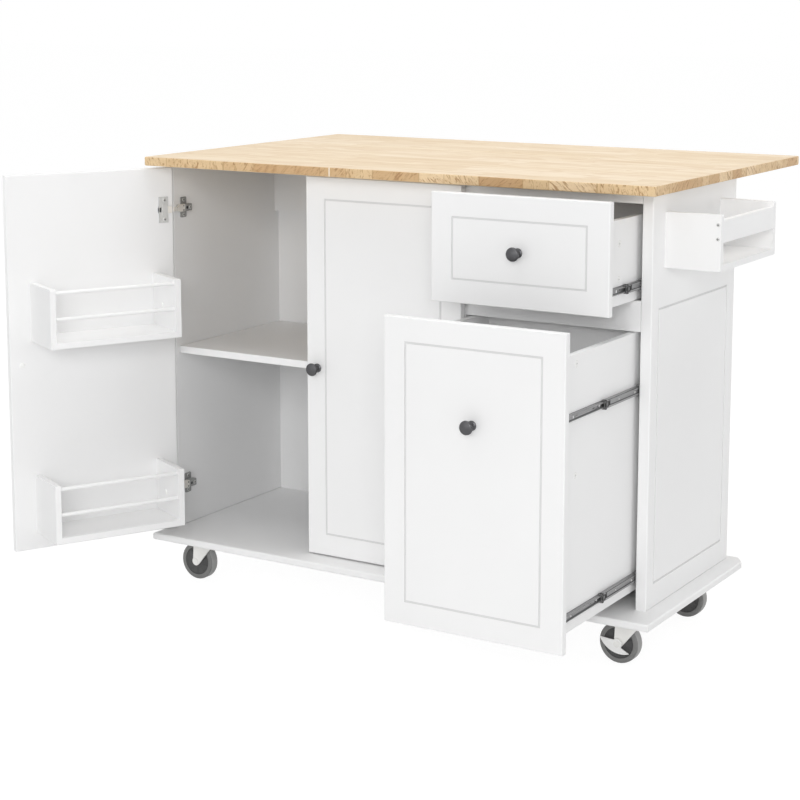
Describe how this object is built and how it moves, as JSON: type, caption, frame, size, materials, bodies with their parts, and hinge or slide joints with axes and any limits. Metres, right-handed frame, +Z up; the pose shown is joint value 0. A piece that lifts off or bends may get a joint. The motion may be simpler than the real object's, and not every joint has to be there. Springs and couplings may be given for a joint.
{
  "type": "drop leaf kitchen island",
  "caption": "Rolling kitchen island with hinged doors, drawers on slides, door racks, a side spice rack and a drop leaf on swing-out wings.",
  "frame": {"origin": "on the floor, under the middle of the outline that the object has as it stands, with the left door and the drawers open", "axes": "+Z up, +X to the right seen from the doors, +Y from the doors to the leaf"},
  "size_m": [1.3896, 0.998, 0.914],
  "materials": {
    "white_paint": "satin white paint on fibreboard",
    "beech": "oiled butcher block of pale rubberwood",
    "pale_wood": "raw pale wood",
    "steel": "nickel-plated pressed steel",
    "zinc": "bright zinc plate",
    "gunmetal": "dark gunmetal, satin",
    "wheel_grey": "dark grey, matt",
    "white_plastic": "white moulded plastic"
  },
  "bodies": {
    "cabinet": {"base_board": "white_paint", "side_panel_left": "white_paint", "side_panel_right": "white_paint", "partition": "white_paint", "back_panel": "white_paint", "cross_rails": "white_paint", "shelf": "white_paint", "shelf_pins": "steel", "worktop": "beech", "hinge_arms": "steel", "slide_rails": "steel", "leaf_hinge_fixed": "steel", "wing_hinge_fixed": "steel", "side_rack_ends": "white_paint", "side_rack_shelf": "white_paint", "side_rack_rail": "white_paint", "side_rack_screws": "steel", "caster_plates": "zinc"},
    "left_door": {"door_left": "white_paint", "knob_left": "gunmetal", "hinge_cups_left": "steel", "upper_door_rack": "white_paint", "lower_door_rack": "white_paint", "door_rack_rods": "white_paint", "door_screw_caps": "white_plastic"},
    "right_door": {"door_right": "white_paint", "knob_right": "gunmetal", "hinge_cups_right": "steel"},
    "upper_drawer": {"upper_drawer_front": "white_paint", "upper_drawer_sides": "white_paint", "upper_drawer_back": "white_paint", "upper_drawer_bottom": "white_paint", "upper_drawer_knob": "gunmetal", "upper_drawer_runners": "steel"},
    "upper_slide_mid": {"upper_slide_middles": "steel"},
    "lower_drawer": {"lower_drawer_front": "white_paint", "lower_drawer_sides": "white_paint", "lower_drawer_back": "white_paint", "lower_drawer_bottom": "white_paint", "lower_drawer_knob": "gunmetal", "lower_drawer_runners": "steel"},
    "lower_slide_mid": {"lower_slide_middles": "steel"},
    "drop_leaf": {"leaf": "beech", "leaf_hinge_moving": "steel"},
    "right_wing": {"wing_right": "white_paint", "wing_block_right": "pale_wood", "wing_hinge_right": "steel"},
    "left_wing": {"wing_left": "white_paint", "wing_block_left": "pale_wood", "wing_hinge_left": "steel"},
    "swivel_fl": {"caster_fork_fl": "zinc"},
    "wheel_fl": {"caster_wheel_fl": "wheel_grey"},
    "swivel_fr": {"caster_fork_fr": "zinc"},
    "wheel_fr": {"caster_wheel_fr": "wheel_grey"},
    "swivel_bl": {"caster_fork_bl": "zinc"},
    "wheel_bl": {"caster_wheel_bl": "wheel_grey"},
    "swivel_br": {"caster_fork_br": "zinc"},
    "wheel_br": {"caster_wheel_br": "wheel_grey"},
    "pedal_fr": {"brake_pedal_fr": "white_plastic"},
    "pedal_bl": {"brake_pedal_bl": "white_plastic"}
  },
  "joints": [
    {"name": "left_door_swing", "type": "hinge", "parent": "cabinet", "child": "left_door", "pos_m": [-0.51325, -0.16854, 0.502], "axis": [0, 0, 1], "range_deg": [0, 117.4]},
    {"name": "right_door_swing", "type": "hinge", "parent": "cabinet", "child": "right_door", "pos_m": [0.18975, -0.16854, 0.502], "axis": [0, 0, -1], "range_deg": [-90, 0]},
    {"name": "upper_drawer_slide", "type": "slide", "parent": "cabinet", "child": "upper_drawer", "axis": [0, -1, 0], "range_m": [-0.1185, 0.2315]},
    {"name": "upper_slide_middle", "type": "slide", "parent": "cabinet", "child": "upper_slide_mid", "axis": [0, -1, 0], "range_m": [-0.0593, 0.1158]},
    {"name": "lower_drawer_slide", "type": "slide", "parent": "cabinet", "child": "lower_drawer", "axis": [0, -1, 0], "range_m": [-0.2835, 0.0665]},
    {"name": "lower_slide_middle", "type": "slide", "parent": "cabinet", "child": "lower_slide_mid", "axis": [0, -1, 0], "range_m": [-0.1418, 0.0333]},
    {"name": "leaf_fold", "type": "hinge", "parent": "cabinet", "child": "drop_leaf", "pos_m": [0.04875, 0.24796, 0.8915], "axis": [-1, 0, 0], "range_deg": [0, 90]},
    {"name": "right_wing_swing", "type": "hinge", "parent": "cabinet", "child": "right_wing", "pos_m": [0.56095, 0.23446, 0.844], "axis": [0, 0, 1], "range_deg": [-90, 0]},
    {"name": "left_wing_swing", "type": "hinge", "parent": "cabinet", "child": "left_wing", "pos_m": [-0.50245, 0.23446, 0.844], "axis": [0, 0, -1], "range_deg": [-90, 0]},
    {"name": "swivel_turn_fl", "type": "hinge", "parent": "cabinet", "child": "swivel_fl", "pos_m": [-0.44825, -0.13504, 0.085], "axis": [0, 0, 1], "continuous": true},
    {"name": "wheel_spin_fl", "type": "hinge", "parent": "swivel_fl", "child": "wheel_fl", "pos_m": [-0.46525, -0.13504, 0.04], "axis": [0, 1, 0], "continuous": true},
    {"name": "swivel_turn_fr", "type": "hinge", "parent": "cabinet", "child": "swivel_fr", "pos_m": [0.54575, -0.13504, 0.085], "axis": [0, 0, 1], "continuous": true},
    {"name": "wheel_spin_fr", "type": "hinge", "parent": "swivel_fr", "child": "wheel_fr", "pos_m": [0.52875, -0.13504, 0.04], "axis": [0, 1, 0], "continuous": true},
    {"name": "swivel_turn_bl", "type": "hinge", "parent": "cabinet", "child": "swivel_bl", "pos_m": [-0.44825, 0.17896, 0.085], "axis": [0, 0, 1], "continuous": true},
    {"name": "wheel_spin_bl", "type": "hinge", "parent": "swivel_bl", "child": "wheel_bl", "pos_m": [-0.46525, 0.17896, 0.04], "axis": [0, 1, 0], "continuous": true},
    {"name": "swivel_turn_br", "type": "hinge", "parent": "cabinet", "child": "swivel_br", "pos_m": [0.54575, 0.17896, 0.085], "axis": [0, 0, 1], "continuous": true},
    {"name": "wheel_spin_br", "type": "hinge", "parent": "swivel_br", "child": "wheel_br", "pos_m": [0.52875, 0.17896, 0.04], "axis": [0, 1, 0], "continuous": true},
    {"name": "pedal_press_fr", "type": "hinge", "parent": "swivel_fr", "child": "pedal_fr", "pos_m": [0.52875, -0.13504, 0.04], "axis": [0, 1, 0], "range_deg": [0, 20]},
    {"name": "pedal_press_bl", "type": "hinge", "parent": "swivel_bl", "child": "pedal_bl", "pos_m": [-0.46525, 0.17896, 0.04], "axis": [0, 1, 0], "range_deg": [0, 20]}
  ],
  "couplings": [
    {"joint": "upper_slide_middle", "follows": "upper_drawer_slide", "ratio": 0.5},
    {"joint": "lower_slide_middle", "follows": "lower_drawer_slide", "ratio": 0.5}
  ]
}
